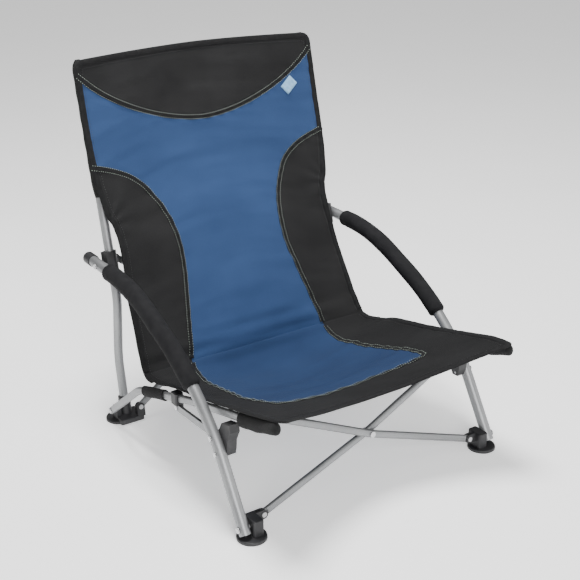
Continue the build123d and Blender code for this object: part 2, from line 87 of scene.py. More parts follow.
# how far along the cloth each row stands
ROW_AT = np.array([0, 40, 118, 202, 289, 352, 384, 424, 473, 543, 631, 707, 785, 866, 942], float)
ROW_SLOPE = np.gradient(ROWS, ROW_AT, axis=0)
HANG_POWER = 0.8        # how the cloth hangs between its edges: 1 is a parabola, less is nearer to a V
HANG_ROUND = 0.01       # rounds the middle of that hang
CREASE = 390.0          # where the seat panel meets the back panel
TOP = 942.0             # the back panel's upper end
FRONT_EDGE = -2.0       # the seat panel's lower end at its corners
TOP_CORNER = 15.0       # how round the sling's upper corners are
FRONT_CORNER = 12.0     # and its front ones
WIDTH = 238.0           # millimetres for one step of v on the flat cloth

# the cloth's outline: how far across its side edge stands, with a notch where the post sleeves start
EDGE_AT = (-10, 60, 380, 410, 470, 535, 600, 655, 676, 692, 740, 950)
EDGE_V = (1.01, 1.012, 1.012, 1.015, 1.015, 1.01, 0.985, 0.968, 0.974, 0.998, 1.016, 1.022)

# the blue centre's side boundary, from its front corner up to the side edge
SIDE_AT = np.array([108, 124, 140, 200, 260, 320, 380, 440,
                    500, 560, 620, 680, 720, 745, 762, 776], float)
SIDE_V = np.array([0.655, 0.668, 0.672, 0.672, 0.645, 0.63, 0.61, 0.58,
                   0.53, 0.483, 0.496, 0.57, 0.665, 0.78, 0.90, 1.02])
SIDE_SLOPE = np.gradient(SIDE_V, SIDE_AT)
SEAM_CORNER = (14.0, 0.075)     # how far the front corner's turn runs along the cloth and across it
CORNER_OVERLAP = 0.01           # the front seam starts this much further out than that turn ends
FRONT_SEAM = 86.0               # where the front seam stands in the middle
FRONT_BOW = 8.0                 # the front seam stands this much further back at its ends
FRONT_WANDER = (1.6, 23.0, 3.0)     # how far the front seam strays, and the two waves that it follows
HEAD_SEAM = 797.0               # where the head seam stands in the middle
HEAD_RISE = 121.0               # how much higher it stands at the edges
HEAD_POWER = 1.75               # how it rises towards them: 1 is a V, 2 is a parabola
HEAD_REACH = 1.013              # how far across it runs
BLUE_REACH = 1.02               # the blue centre's loop is closed this far across, outside the cloth

NORMAL_STEP = (1.5, 0.004)      # the steps along and across that a normal is measured over

# relief, in millimetres, and its waves in radians a millimetre
# wrinkles and the folds at the crease: how high, how wide across, how long along, and the seed
WRINKLES = ((2.4, 210, 120, 3.1), (1.7, 120, 34, 8.7), (0.9, 75, 17, 12.9))
CREASE_FOLD = (3.2, 150, 19, 5.3)
FOLDS_PAST_CREASE, FOLDS_REACH = 8.0, 42.0
CREASE_DENT, DENT_REACH = 1.4, 4.5
NOTCH = 680.0                   # where the pulls at the notch start from
PULL_HEIGHT, PULL_REACH, PULL_COUNT = 1.5, 75.0, 9.0
PUCKER_HEIGHT, PUCKER_REACH, PUCKER_ALONG, PUCKER_ACROSS = 0.8, 9.0, 0.26, 0.21
HEM_HEIGHT, HEM_INSET, HEM_REACH = 0.55, 9.0, 8.0
HEM_WAVE, HEM_SWING, HEM_SWING_WAVE = 0.27, 1.3, 0.05
CALM_EDGE, CALM_LEAST = 12.0, 0.1   # relief dies away over the last of the cloth, to this share


def smooth_curve(l, at, values, slope):
    """Values at lengths l, on a smooth curve through the values that stand at the lengths at."""
    i = np.clip(np.searchsorted(at, l, side="right") - 1, 0, len(at) - 2)
    step = at[i + 1] - at[i]
    t = (l - at[i]) / step
    if values.ndim == 2:
        t, step = t[:, None], step[:, None]
    return ((2 * t**3 - 3 * t**2 + 1) * values[i] + (t**3 - 2 * t**2 + t) * step * slope[i]
            + (3 * t**2 - 2 * t**3) * values[i + 1] + (t**3 - t**2) * step * slope[i + 1])


def smooth_surface(l, v):
    """Points of the unwrinkled sling, as an array of rows x, y, z."""
    row = smooth_curve(l, ROW_AT, ROWS, ROW_SLOPE)
    low = HANG_ROUND**HANG_POWER
    share = ((v * v + HANG_ROUND)**HANG_POWER - low) / ((1 + HANG_ROUND)**HANG_POWER - low)
    depth = row[:, 3] + (row[:, 1] - row[:, 3]) * share
    height = row[:, 4] + (row[:, 2] - row[:, 4]) * share
    return np.stack([row[:, 0] * v * MM, front + depth * MM, height * MM], axis=1)


def unit(a):
    """Vectors in rows, each made one long."""
    return a / np.maximum(np.linalg.norm(a, axis=1, keepdims=True), 1e-12)


def normals(l, v):
    """Unit normals of the cloth, towards the sitter."""
    step_l, step_v = NORMAL_STEP
    dv = smooth_surface(l, v + step_v) - smooth_surface(l, v - step_v)
    dl = smooth_surface(l + step_l, v) - smooth_surface(l - step_l, v)
    return unit(np.cross(dv, dl))


def corner_inset(distance, radius):
    """How far a rounded corner draws the outline in, at a distance from the straight end."""
    short = np.clip(1 - distance / radius, 0, 1)
    return radius * (1 - np.sqrt(1 - short * short))


def edge(l):
    """How far across the cloth reaches at lengths l."""
    inset = corner_inset(TOP - l, TOP_CORNER) + corner_inset(l - FRONT_EDGE, FRONT_CORNER)
    return np.interp(l, EDGE_AT, EDGE_V) - inset / WIDTH


def side_seam():
    """One continuous seam round the blue centre: down the left, across the front, up the right."""
    side_l = np.linspace(SIDE_AT[0], SIDE_AT[-1], 90)
    side_v = smooth_curve(side_l, SIDE_AT, SIDE_V, SIDE_SLOPE)
    turn = np.linspace(0, math.pi / 2, 9)[1:-1]
    corner_l = SIDE_AT[0] - SEAM_CORNER[0] * np.sin(turn)
    corner_v = SIDE_V[0] - SEAM_CORNER[1] * (1 - np.cos(turn))
    across = np.linspace(corner_v[-1] - CORNER_OVERLAP, -corner_v[-1] + CORNER_OVERLAP, 50)
    stray, wave, slow_wave = FRONT_WANDER
    front_l = (FRONT_SEAM + FRONT_BOW * (across / SIDE_V[0])**2
               + stray * np.sin(wave * across) * np.cos(slow_wave * across))
    l_path = np.concatenate([side_l[::-1], corner_l, front_l, corner_l[::-1], side_l])
    v_path = np.concatenate([side_v[::-1], corner_v, across, -corner_v[::-1], -side_v])
    return l_path, -v_path


def head_seam():
    """The seam below the black head panel, from the left edge to the right."""
    v = np.linspace(-HEAD_REACH, HEAD_REACH, 70)
    return HEAD_SEAM + HEAD_RISE * np.abs(v)**HEAD_POWER, v


def flat(l, v):
    """The cloth laid out flat, in millimetres."""
    return np.stack([v * WIDTH, l], axis=1)


def distance_to(points, path):
    """Each flat point's distance to a flat path."""
    best = np.full(len(points), 1e9)
    for a, b in zip(path[:-1], path[1:]):
        d = b - a
        t = np.clip(((points - a) @ d) / max(d @ d, 1e-9), 0, 1)
        best = np.minimum(best, np.linalg.norm(points - a - t[:, None] * d, axis=1))
    return best


def inside(points, loop):
    """Which flat points lie inside a closed flat loop."""
    found = np.zeros(len(points), bool)
    for a, b in zip(loop, np.roll(loop, -1, axis=0)):
        crosses = (a[1] > points[:, 1]) != (b[1] > points[:, 1])
        with np.errstate(divide="ignore", invalid="ignore"):
            at = (b[0] - a[0]) * (points[:, 1] - a[1]) / (b[1] - a[1]) + a[0]
        found ^= crosses & (points[:, 0] < at)
    return found


SIDE_SEAM = side_seam()
HEAD = head_seam()
SEAM_PATHS = (flat(*SIDE_SEAM), flat(*HEAD))
BLUE_LOOP = np.concatenate([SEAM_PATHS[0], SEAM_PATHS[1][::-1] * (BLUE_REACH, 1.0)])


def blueness(l, v):
    """Signed distance to the blue centre's boundary in millimetres, above 0 inside it."""
    points = flat(l, v)
    distance = np.minimum(distance_to(points, SEAM_PATHS[0]), distance_to(points, SEAM_PATHS[1]))
    return np.where(inside(points, BLUE_LOOP), distance, -distance)


def ripple(l, v, scale_across, scale_along, seed):
    """Smooth seeded noise over the flat cloth, from -1 to 1."""
    return np.array([noise.noise(Vector((a * WIDTH / scale_across, b / scale_along, seed)))
                     for a, b in zip(v, l)])


def relief(l, v, distance):
    """How far wrinkles and puckers lift the cloth off its smooth surface, in millimetres."""
    lift = sum(height * ripple(l, v, *scales) for height, *scales in WRINKLES)
    # soft folds that run across the cloth where it turns at the crease
    turn = np.exp(-((l - CREASE - FOLDS_PAST_CREASE) / FOLDS_REACH)**2)
    height, *scales = CREASE_FOLD
    dent = CREASE_DENT * np.exp(-((l - CREASE) / DENT_REACH)**2)
    lift += turn * (height * ripple(l, v, *scales) - dent)
    # pulls that fan out from the notch where the post sleeves start
    reach = np.hypot((np.abs(v) - 1.0) * WIDTH, l - NOTCH)
    fan = np.arctan2((1.0 - np.abs(v)) * WIDTH, l - NOTCH)
    lift += PULL_HEIGHT * np.exp(-reach / PULL_REACH) * np.sin(PULL_COUNT * fan)
    # puckers beside every seam and along the edges
    near_seam = np.exp(-(distance / PUCKER_REACH)**2)
    lift += PUCKER_HEIGHT * near_seam * np.sin(PUCKER_ALONG * l + PUCKER_ACROSS * v * WIDTH)
    from_edge = (edge(l) - np.abs(v)) * WIDTH
    near_hem = np.exp(-((from_edge - HEM_INSET) / HEM_REACH)**2)
    lift += HEM_HEIGHT * near_hem * np.sin(HEM_WAVE * l + HEM_SWING * np.sin(HEM_SWING_WAVE * l))
    # everything dies away at the free edges, which the binding holds
    return lift * np.clip(from_edge / CALM_EDGE, CALM_LEAST, 1)


def cloth_point(l, v):
    """Points on the wrinkled cloth and the normals there."""
    distance = np.abs(blueness(l, v))
    n = normals(l, v)
    return smooth_surface(l, v) + n * relief(l, v, distance)[:, None] * MM, n


# ---------------------------------------------------------------- mesh helpers

def new_mesh(name, points, faces, flat_mm=None, blue=None, smooth=True):
    """An object of points and faces, with the attributes that the cloth materials read."""
    mesh = bpy.data.meshes.new(name)
    mesh.from_pydata([tuple(p) for p in points], [], faces)
    mesh.validate()
    if smooth:
        mesh.polygons.foreach_set("use_smooth", [True] * len(mesh.polygons))
    if flat_mm is not None:
        layer = mesh.attributes.new("flat", "FLOAT_VECTOR", "POINT")
        layer.data.foreach_set("vector", np.asarray(flat_mm, np.float32).ravel())
    if blue is not None:
        layer = mesh.attributes.new("blue", "FLOAT", "POINT")
        layer.data.foreach_set("value", np.asarray(blue, np.float32))
    obj = bpy.data.objects.new(name, mesh)
    bpy.context.scene.collection.objects.link(obj)
    return obj


def finish_piece(obj, material, body, squash=None):
    """Gives a piece its material and the body that it rides on."""
    obj.data.materials.append(material)
    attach(obj, body)
    if squash:
        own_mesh(obj)


SLING_SQUASH = (ACROSS, (-post_x, 0, 0), FOLD_KEEP)
# sizes in millimetres
SLING_THICKNESS = 1.5
PATH_PITCH = 4.0            # the spacing of points along tapes and rows of stitches
OUTLINE_PITCH = 3.0         # and along a panel's outline
SECTION = 12                # points round a tape's section
SECTION_POWER = 0.7         # below 1, a tape's section is squarer than an ellipse
STITCH = 3.0                # a stitch's length
STITCH_PITCH = 4.4          # from the start of one stitch to the next
STITCH_DIG = 0.7            # a stitch's ends stand at this share of its lift
THREAD = 0.5                # the thread's radius
SHORTEST_RUN = 3            # a run of seam with no more points than this is left out
ARC_POINTS = 12             # points on each bend of a tube's path
SHELL_LEAST = 0.2           # no half width of a soft tube is less than this


def grid_faces(rows, columns, start=0, flip=False):
    """The quads of a grid of points, from the point numbered start."""
    faces = []
    for i in range(rows - 1):
        for j in range(columns - 1):
            a = start + i * columns + j
            quad = (a, a + 1, a + columns + 1, a + columns)
            faces.append(quad[::-1] if flip else quad)
    return faces


def cloth_sheet(name, l_low, l_high, rows, columns, sink):
    """A closed thin sheet of the sling between two end lines. sink lowers it, in millimetres."""
    u = np.linspace(-1, 1, columns)
    lines = np.linspace(0, 1, rows)
    l = np.concatenate([l_low(u) + (l_high(u) - l_low(u)) * t for t in lines])
    v = np.tile(u, rows) * edge(l)
    centre, n = cloth_point(l, v)
    centre = centre - n * sink(l)[:, None] * MM
    half = SLING_THICKNESS / 2 * MM
    points = np.concatenate([centre + n * half, centre - n * half])
    count = rows * columns
    faces = grid_faces(rows, columns) + grid_faces(rows, columns, count, flip=True)
    rim = (list(range(columns))
           + [columns - 1 + i * columns for i in range(1, rows)]
           + [count - 2 - i for i in range(columns - 1)]
           + [count - columns - i * columns for i in range(1, rows - 1)])
    for a, b in zip(rim, rim[1:] + rim[:1]):
        faces.append((b, a, a + count, b + count))
    flat_mm = np.concatenate([flat(l, v), np.zeros((count, 1))], axis=1)
    blue = blueness(l, v)
    return new_mesh(name, points, faces, np.tile(flat_mm, (2, 1)), np.tile(blue, 2))


def run_lengths(path):
    """How far along a path each of its points stands."""
    return np.concatenate([[0], np.cumsum(np.linalg.norm(np.diff(path, axis=0), axis=1))])


def even(l, v, pitch):
    """The same flat path with points every pitch millimetres."""
    path = flat(l, v)
    length = run_lengths(path)
    at = np.arange(0, length[-1], pitch)
    return np.interp(at, length, path[:, 1]), np.interp(at, length, path[:, 0]) / WIDTH


def beside(l, v, offset):
    """The same flat path moved sideways by offset millimetres."""
    path = flat(l, v)
    tangent = unit(np.gradient(path, axis=0))
    moved = path + offset * np.stack([-tangent[:, 1], tangent[:, 0]], axis=1)
    return moved[:, 1], moved[:, 0] / WIDTH


def strip_arrays(l, v, half_width, half_height, lift, start):
    """A flat tape laid along a path on the cloth, as points, faces and flat coordinates."""
    l, v = even(l, v, PATH_PITCH)
    run = np.arange(len(l)) * PATH_PITCH
    centre, n = cloth_point(l, v)
    centre = centre + n * lift * MM
    tangent = unit(np.gradient(centre, axis=0))
    side = unit(np.cross(n, tangent))
    points, coords = [], []
    for k in range(SECTION):
        turn = 2 * math.pi * k / SECTION
        c, s = math.cos(turn), math.sin(turn)
        a = math.copysign(abs(c)**SECTION_POWER, c) * half_width * MM
        b = math.copysign(abs(s)**SECTION_POWER, s) * half_height * MM
        points.append(centre + side * a + n * b)
        coords.append(np.stack([np.full(len(l), a / MM), run, np.zeros(len(l))], axis=1))
    points = np.stack(points, axis=1).reshape(-1, 3)
    coords = np.stack(coords, axis=1).reshape(-1, 3)
    faces = []
    for i in range(len(l) - 1):
        for k in range(SECTION):
            a, b = start + i * SECTION + k, start + i * SECTION + (k + 1) % SECTION
            faces.append((a, b, b + SECTION, a + SECTION))
    faces.append(tuple(start + k for k in reversed(range(SECTION))))
    faces.append(tuple(start + (len(l) - 1) * SECTION + k for k in range(SECTION)))
    return points, faces, coords


def strips(name, paths, half_width, half_height, lift):
    """One piece of flat tapes along several paths."""
    points, faces, coords, start = [], [], [], 0
    for l, v in paths:
        p, f, c = strip_arrays(l, v, half_width, half_height, lift, start)
        points.append(p)
        coords.append(c)
        faces += f
        start += len(p)
    return new_mesh(name, np.concatenate(points), faces, np.concatenate(coords))


def stitches(name, paths, lift):
    """Separate thread stitches along paths on the cloth, each a slim spindle."""
    points, faces = [], []
    for l, v in paths:
        l_at, v_at = even(l, v, STITCH_PITCH)
        run = unit(np.diff(flat(l_at, v_at), axis=0)) * STITCH
        l_from, v_from = l_at[:-1], v_at[:-1]
        begin, n = cloth_point(l_from, v_from)
        end, _ = cloth_point(l_from + run[:, 1], v_from + run[:, 0] / WIDTH)
        tangent = unit(end - begin)
        side = unit(np.cross(n, tangent))
        for b, e, up, across in zip(begin, end, n, side):
            raised = up * lift * MM
            middle = (b + e) / 2 + raised
            ring = [middle + across * THREAD * MM, middle + up * THREAD * MM,
                    middle - across * THREAD * MM, middle - up * THREAD * MM]
            first = len(points)
            points += [b + raised * STITCH_DIG, e + raised * STITCH_DIG] + ring
            for k in range(4):
                one, two = first + 2 + k, first + 2 + (k + 1) % 4
                faces += [(first, two, one), (first + 1, one, two)]
    return new_mesh(name, points, faces)


def rounded(corners, radii, spacing):
    """A path of straight runs joined by arcs, in depth and height, with points every spacing."""
    corners = [np.array(c, float) for c in corners]
    path = [corners[0]]
    for a, b, c, radius in zip(corners[:-2], corners[1:-1], corners[2:], radii):
        before, after = (a - b) / np.linalg.norm(a - b), (c - b) / np.linalg.norm(c - b)
        half = math.acos(np.clip(before @ after, -1, 1)) / 2
        reach = radius / math.tan(half)
        centre = b + (before + after) / np.linalg.norm(before + after) * radius / math.sin(half)
        start, end = b + before * reach, b + after * reach
        for t in np.linspace(0, 1, ARC_POINTS):
            on = start + (end - start) * t - centre
            path.append(centre + on / np.linalg.norm(on) * radius)
    path.append(corners[-1])
    path = np.array(path)
    length = run_lengths(path)
    at = np.linspace(0, length[-1], int(length[-1] / spacing) + 1)
    return np.stack([np.interp(at, length, path[:, i]) for i in (0, 1)], axis=1)


def shell(name, path, wide, high, wall, closed_end=False, segments=28):
    """A soft tube round a path of x, y, z points, with half widths and heights for each point."""
    tangent = unit(np.gradient(path, axis=0))
    up = unit(np.cross(tangent, np.tile((1.0, 0.0, 0.0), (len(path), 1))))
    across = np.cross(up, tangent)
    turns = np.arange(segments) * 2 * math.pi / segments
    length = run_lengths(path)
    points, coords = [], []
    for inset in (0, wall):
        for i in range(len(path)):
            half_wide, half_high = max(wide[i] - inset, SHELL_LEAST), max(high[i] - inset, SHELL_LEAST)
            for turn in turns:
                a, b = half_wide * math.cos(turn), half_high * math.sin(turn)
                points.append(path[i] + (across[i] * a + up[i] * b) * MM)
                coords.append((turn * (wide[i] + high[i]) / 2, length[i] / MM, 0))
    count = len(path) * segments
    faces = []
    for i in range(len(path) - 1):
        for k in range(segments):
            a, b = i * segments + k, i * segments + (k + 1) % segments
            faces.append((a, b, b + segments, a + segments))
            faces.append((a + count + segments, b + count + segments, b + count, a + count))
    last = (len(path) - 1) * segments
    for k in range(segments):
        b = (k + 1) % segments
        faces.append((b, k, k + count, b + count))
        if not closed_end:
            faces.append((last + k, last + b, last + b + count, last + k + count))
    if closed_end:
        faces.append(tuple(last + k for k in range(segments)))
        faces.append(tuple(last + count + k for k in reversed(range(segments))))
    return new_mesh(name, points, faces, coords)


# ---------------------------------------------------------------- materials

MIX_A, MIX_B, MIX_RESULT = 6, 7, 2      # the colour sockets of a Mix node, whose names repeat


class Nodes:
    """Short calls for a material's node tree."""

    def __init__(self, name):
        self.material = bpy.data.materials.new(name)
        self.material.use_nodes = True
        self.tree = self.material.node_tree
        self.shader = self.tree.nodes["Principled BSDF"]

    def add(self, kind, **settings):
        node = self.tree.nodes.new(kind)
        for key, value in settings.items():
            if key.startswith("in_"):
                node.inputs[key[3:].replace("_", " ")].default_value = value
            else:
                setattr(node, key, value)
        return node

    def link(self, a, b):
        self.tree.links.new(a, b)

    def math(self, operation, a, b=None):
        node = self.add("ShaderNodeMath", operation=operation)
        for socket, value in zip(node.inputs, (a, b)):
            if value is None:
                continue
            if isinstance(value, (int, float)):
                socket.default_value = value
            else:
                self.link(value, socket)
        return node.outputs[0]

    def noise(self, scale, detail=4.0, vector=None):
        node = self.add("ShaderNodeTexNoise", in_Scale=scale, in_Detail=detail)
        if vector is None:
            vector = self.add("ShaderNodeTexCoord").outputs["Object"]
        self.link(vector, node.inputs["Vector"])
        return node.outputs["Fac"]

    def ramp(self, factor, low, high, at=(0.3, 0.7)):
        node = self.add("ShaderNodeValToRGB")
        for element, place, colour in zip(node.color_ramp.elements, at, (low, high)):
            element.position = place
            element.color = (*colour, 1)
        self.link(factor, node.inputs[0])
        return node.outputs[0]

    def mix(self, factor, a, b):
        node = self.add("ShaderNodeMix", data_type="RGBA")
        self.link(factor, node.inputs[0])
        self.link(a, node.inputs[MIX_A])
        self.link(b, node.inputs[MIX_B])
        return node.outputs[MIX_RESULT]

    def spread(self, factor, low, high):
        """A value that varies from low to high with a factor."""
        node = self.add("ShaderNodeMapRange", in_To_Min=low, in_To_Max=high)
        self.link(factor, node.inputs["Value"])
        return node.outputs[0]

    def bump(self, height, distance):
        node = self.add("ShaderNodeBump", in_Strength=1.0, in_Distance=distance)
        self.link(height, node.inputs["Height"])
        self.link(node.outputs[0], self.shader.inputs["Normal"])

    def set(self, **values):
        for key, value in values.items():
            self.shader.inputs[key.replace("_", " ")].default_value = value


def weave_height(n, pitch):
    """Over-and-under threads at a pitch in millimetres, on the cloth's flat coordinates."""
    flat_at = n.add("ShaderNodeAttribute", attribute_name="flat").outputs["Vector"]
    parts = n.add("ShaderNodeSeparateXYZ")
    n.link(flat_at, parts.inputs[0])
    waves = [n.math("SINE", n.math("MULTIPLY", parts.outputs[i], 2 * math.pi / pitch)) for i in (0, 1)]
    return n.math("MULTIPLY", waves[0], waves[1]), flat_at


WEAVE_PITCH = 1.3
TONE_AT = (0.38, 0.62)      # where the cloth's ramps begin and end
SEAM_BLUR = 0.4             # the colours meet over this many millimetres on each side of the seam


def cloth(name, blue_low, blue_high, black_low, black_high):
    """Woven polyester, blue in the middle and black round it, with faded places and thicker threads."""
    n = Nodes(name)
    height, flat_at = weave_height(n, WEAVE_PITCH)
    scaled = n.add("ShaderNodeVectorMath", operation="SCALE")
    scaled.inputs["Scale"].default_value = MM
    n.link(flat_at, scaled.inputs[0])
    fade = n.noise(scale=9.0, detail=3.0, vector=scaled.outputs[0])
    slub = n.noise(scale=420.0, detail=2.0, vector=scaled.outputs[0])
    tone = n.math("ADD", n.math("MULTIPLY", fade, 0.55), n.math("MULTIPLY", slub, 0.45))
    blue = n.ramp(tone, blue_low, blue_high, TONE_AT)
    black = n.ramp(tone, black_low, black_high, TONE_AT)
    signed = n.add("ShaderNodeAttribute", attribute_name="blue").outputs["Fac"]
    mask = n.add("ShaderNodeMapRange", in_From_Min=-SEAM_BLUR, in_From_Max=SEAM_BLUR)
    n.link(signed, mask.inputs["Value"])
    n.link(n.mix(mask.outputs[0], black, blue), n.shader.inputs["Base Color"])
    n.link(n.spread(slub, low=0.72, high=0.92), n.shader.inputs["Roughness"])
    n.bump(n.math("ADD", height, n.math("MULTIPLY", slub, 0.8)), distance=0.12 * MM)
    n.set(Sheen_Weight=0.02, Sheen_Roughness=0.4, Specular_IOR_Level=0.16)
    return n.material


def tape(name, low, high, pitch):
    """Woven tape or plain cloth of one colour."""
    n = Nodes(name)
    height, _ = weave_height(n, pitch)
    tone = n.noise(scale=160.0, detail=3.0)
    n.link(n.ramp(tone, low, high), n.shader.inputs["Base Color"])
    n.link(n.spread(tone, low=0.7, high=0.95), n.shader.inputs["Roughness"])
    n.bump(n.math("ADD", height, n.math("MULTIPLY", tone, 0.6)), distance=0.18 * MM)
    n.set(Sheen_Weight=0.02, Sheen_Roughness=0.5, Specular_IOR_Level=0.18)
    return n.material


def coated_metal(name, low, high, rough_low, rough_high, metallic):
    """Powder coat: a faint orange peel, fine flakes and rubbed places."""
    n = Nodes(name)
    flakes = n.noise(scale=900.0, detail=2.0)
    handled = n.noise(scale=14.0, detail=5.0)
    tone = n.math("ADD", n.math("MULTIPLY", flakes, 0.5), n.math("MULTIPLY", handled, 0.5))
    n.link(n.ramp(tone, low, high), n.shader.inputs["Base Color"])
    n.link(n.spread(handled, rough_low, rough_high), n.shader.inputs["Roughness"])
    n.bump(n.noise(scale=260.0, detail=3.0), distance=0.06 * MM)
    n.set(Metallic=metallic)
    return n.material


def black_plastic():
    """Moulded plastic with a fine grain and scuffs."""
    n = Nodes("moulded_black_plastic")
    grain = n.noise(scale=1400.0, detail=3.0)
    scuffs = n.noise(scale=40.0, detail=6.0)
    n.link(n.ramp(scuffs, (0.010, 0.010, 0.011), (0.026, 0.026, 0.028)),
           n.shader.inputs["Base Color"])
    n.link(n.spread(scuffs, low=0.38, high=0.6), n.shader.inputs["Roughness"])
    n.bump(grain, distance=0.08 * MM)
    return n.material


def foam():
    """Matt foam with small cells and shallow dents."""
    n = Nodes("closed_cell_foam")
    cells = n.add("ShaderNodeTexVoronoi", in_Scale=900.0)
    n.link(n.add("ShaderNodeTexCoord").outputs["Object"], cells.inputs["Vector"])
    dents = n.noise(scale=60.0, detail=4.0)
    n.link(n.ramp(dents, (0.005, 0.005, 0.006), (0.012, 0.012, 0.013)),
           n.shader.inputs["Base Color"])
    n.link(n.spread(dents, low=0.8, high=0.98), n.shader.inputs["Roughness"])
    n.bump(n.math("ADD", cells.outputs["Distance"], dents), distance=0.25 * MM)
    n.set(Specular_IOR_Level=0.22)
    return n.material


def rivet_steel():
    """Zinc plating with a fine spangle."""
    n = Nodes("zinc_rivets")
    spangle = n.noise(scale=700.0, detail=5.0)
    n.link(n.ramp(spangle, (0.42, 0.42, 0.43), (0.68, 0.68, 0.69)),
           n.shader.inputs["Base Color"])
    n.link(n.spread(spangle, low=0.22, high=0.42), n.shader.inputs["Roughness"])
    n.bump(spangle, distance=0.04 * MM)
    n.set(Metallic=1.0)
    return n.material


def thread(name, low, high):
    """Twisted sewing thread."""
    n = Nodes(name)
    twist = n.noise(scale=1800.0, detail=2.0)
    n.link(n.ramp(twist, low, high), n.shader.inputs["Base Color"])
    n.link(n.spread(twist, low=0.55, high=0.8), n.shader.inputs["Roughness"])
    n.bump(twist, distance=0.05 * MM)
    return n.material


# colours from low to high; the seat's cloth is the same fabric as the back's, given darker colours:
# painted shade on the seat
BLACK = ((0.010, 0.010, 0.0104), (0.0175, 0.0175, 0.018))
SEAT_BLACK_PAINTED_SHADE = ((0.007, 0.007, 0.0073), (0.013, 0.013, 0.0136))
BLUE = ((0.0225, 0.049, 0.124), (0.0285, 0.060, 0.148))
SEAT_BLUE_PAINTED_SHADE = ((0.0125, 0.029, 0.077), (0.0165, 0.037, 0.095))
SILVER = ((0.23, 0.235, 0.24), (0.36, 0.365, 0.37))
# the bars' coat is the frame's silver given darker colours: painted shade
BAR_SILVER_PAINTED_SHADE = ((0.19, 0.195, 0.20), (0.30, 0.305, 0.31))

back_cloth = cloth("back_polyester", *BLUE, *BLACK)
# the seat's material is the back's cloth with darker colours: painted shade
seat_cloth = cloth("seat_polyester_painted_shade", *SEAT_BLUE_PAINTED_SHADE, *SEAT_BLACK_PAINTED_SHADE)
binding_tape = tape("black_binding", (0.005, 0.005, 0.0055), (0.012, 0.012, 0.0125), pitch=1.6)
sleeve_cloth = tape("black_sleeve_cloth", *BLACK, pitch=WEAVE_PITCH)
webbing = tape("ribbed_webbing", (0.012, 0.012, 0.013), (0.035, 0.035, 0.037), pitch=2.4)
seam_thread = thread("seam_thread", (0.26, 0.31, 0.26), (0.42, 0.48, 0.42))
edge_thread = thread("edge_thread", (0.016, 0.016, 0.017), (0.035, 0.035, 0.037))
patch_cloth = tape("plain_patch_cloth", (0.20, 0.40, 0.62), (0.32, 0.53, 0.75), pitch=1.0)
foam_material = foam()
CAD_MATERIALS = {
    "frame_silver": coated_metal("silver_powder_coat", *SILVER,
                                 rough_low=0.40, rough_high=0.56, metallic=0.75),
    # the bars' coat: the frame's powder coat with darker colours, painted shade
    "bar_silver": coated_metal("silver_bar_coat_painted_shade", *BAR_SILVER_PAINTED_SHADE,
                               rough_low=0.32, rough_high=0.50, metallic=0.75),
    "black_plastic": black_plastic(),
    "black_foam": foam_material,
    "rivet_steel": rivet_steel(),
    "back_cloth": back_cloth,
    "seat_cloth": seat_cloth,
    "black_webbing": webbing,
}
for part in frame["record"]["subparts"]:
    node = frame["nodes"][part["node"]]
    for material_slot in node.material_slots:
        material_slot.material = CAD_MATERIALS[part["material_slot"]]

# ---------------------------------------------------------------- the sling's two panels

FRONT_DIP = 9.0         # the front hem is this much further back in the middle
FLAP = 24.0             # the back panel runs on under the seat panel
FLAP_SINK = 3.5         # how far that flap lies below the cloth's surface
SEAT_SINK = 0.9         # how far the seat panel's last few millimetres lie below it
BACK_GRID, SEAT_GRID = (146, 121), (100, 121)       # rows and columns of points


def front_line(v):
    """The length at which the front edge stands, across the cloth."""
    return FRONT_EDGE + FRONT_DIP * (1 - v * v)


def level(value):
    """An end line that runs straight across the cloth."""
    return lambda v: np.full(len(v), value)


def flap_sink(l):
    """How far the back panel lies below the surface: only its flap does."""
    return FLAP_SINK * np.clip((CREASE + 2 - l) / 8, 0, 1)


def seat_sink(l):
    """How far the seat panel lies below the surface: only beside the crease."""
    return SEAT_SINK * np.clip((l - CREASE + 4) / 5, 0, 1)


back = cloth_sheet("sling_back_cloth", level(CREASE - FLAP), level(TOP), *BACK_GRID, flap_sink)
seat = cloth_sheet("sling_seat_cloth", front_line, level(CREASE + 1), *SEAT_GRID, seat_sink)
finish_piece(back, back_cloth, "rear_left", SLING_SQUASH)
finish_piece(seat, seat_cloth, "seat_sling", SLING_SQUASH)
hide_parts("sling_back")
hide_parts("sling_seat")


def part_of(path, low, high):
    """The runs of a path between two lengths of the cloth."""
    l, v = path
    keep = (l >= low) & (l <= high)
    runs, start = [], None
    for i, kept in enumerate(list(keep) + [False]):
        if kept and start is None:
            start = i
        elif not kept and start is not None:
            if i - start > SHORTEST_RUN:
                runs.append((l[start:i], v[start:i]))
            start = None
    return runs


def outline_path(fixed, free, end_line, inset):
    """Up one side of a panel from its fixed end, round its free end and back, inset from its outline."""
    t = np.sin(np.linspace(0, math.pi / 2, 160))
    l_side = fixed + (free - fixed) * t
    reach = edge(np.array([free]))[0]
    across = np.linspace(-reach, reach, 90)[1:-1]
    l = np.concatenate([l_side, end_line(across), l_side[::-1]])
    v = np.concatenate([-edge(l_side), across, edge(l_side)[::-1]])
    return beside(*even(l, v, OUTLINE_PITCH), math.copysign(inset, fixed - free))


# HALF, HIGH and LIFT are a tape's half width, its half height and its middle's height over the cloth
TAPE_HALF, TAPE_HIGH, TAPE_LIFT = 4.8, 1.75, 0.15
TAPE_TAIL = 6.0                     # the seam tapes start this far below a panel's low end
SEAM_STITCH, SEAM_STITCH_LIFT = 3.6, 2.5    # the rows stand this far to each side of the seam
BINDING_HALF, BINDING_HIGH, BINDING_LIFT = 5.8, 2.1, 0
BINDING_INSET = 5.0                 # the binding's middle is this far in from the cloth's edge
EDGE_STITCH, EDGE_STITCH_LIFT = 13.5, 1.3   # the edge stitches are this far in
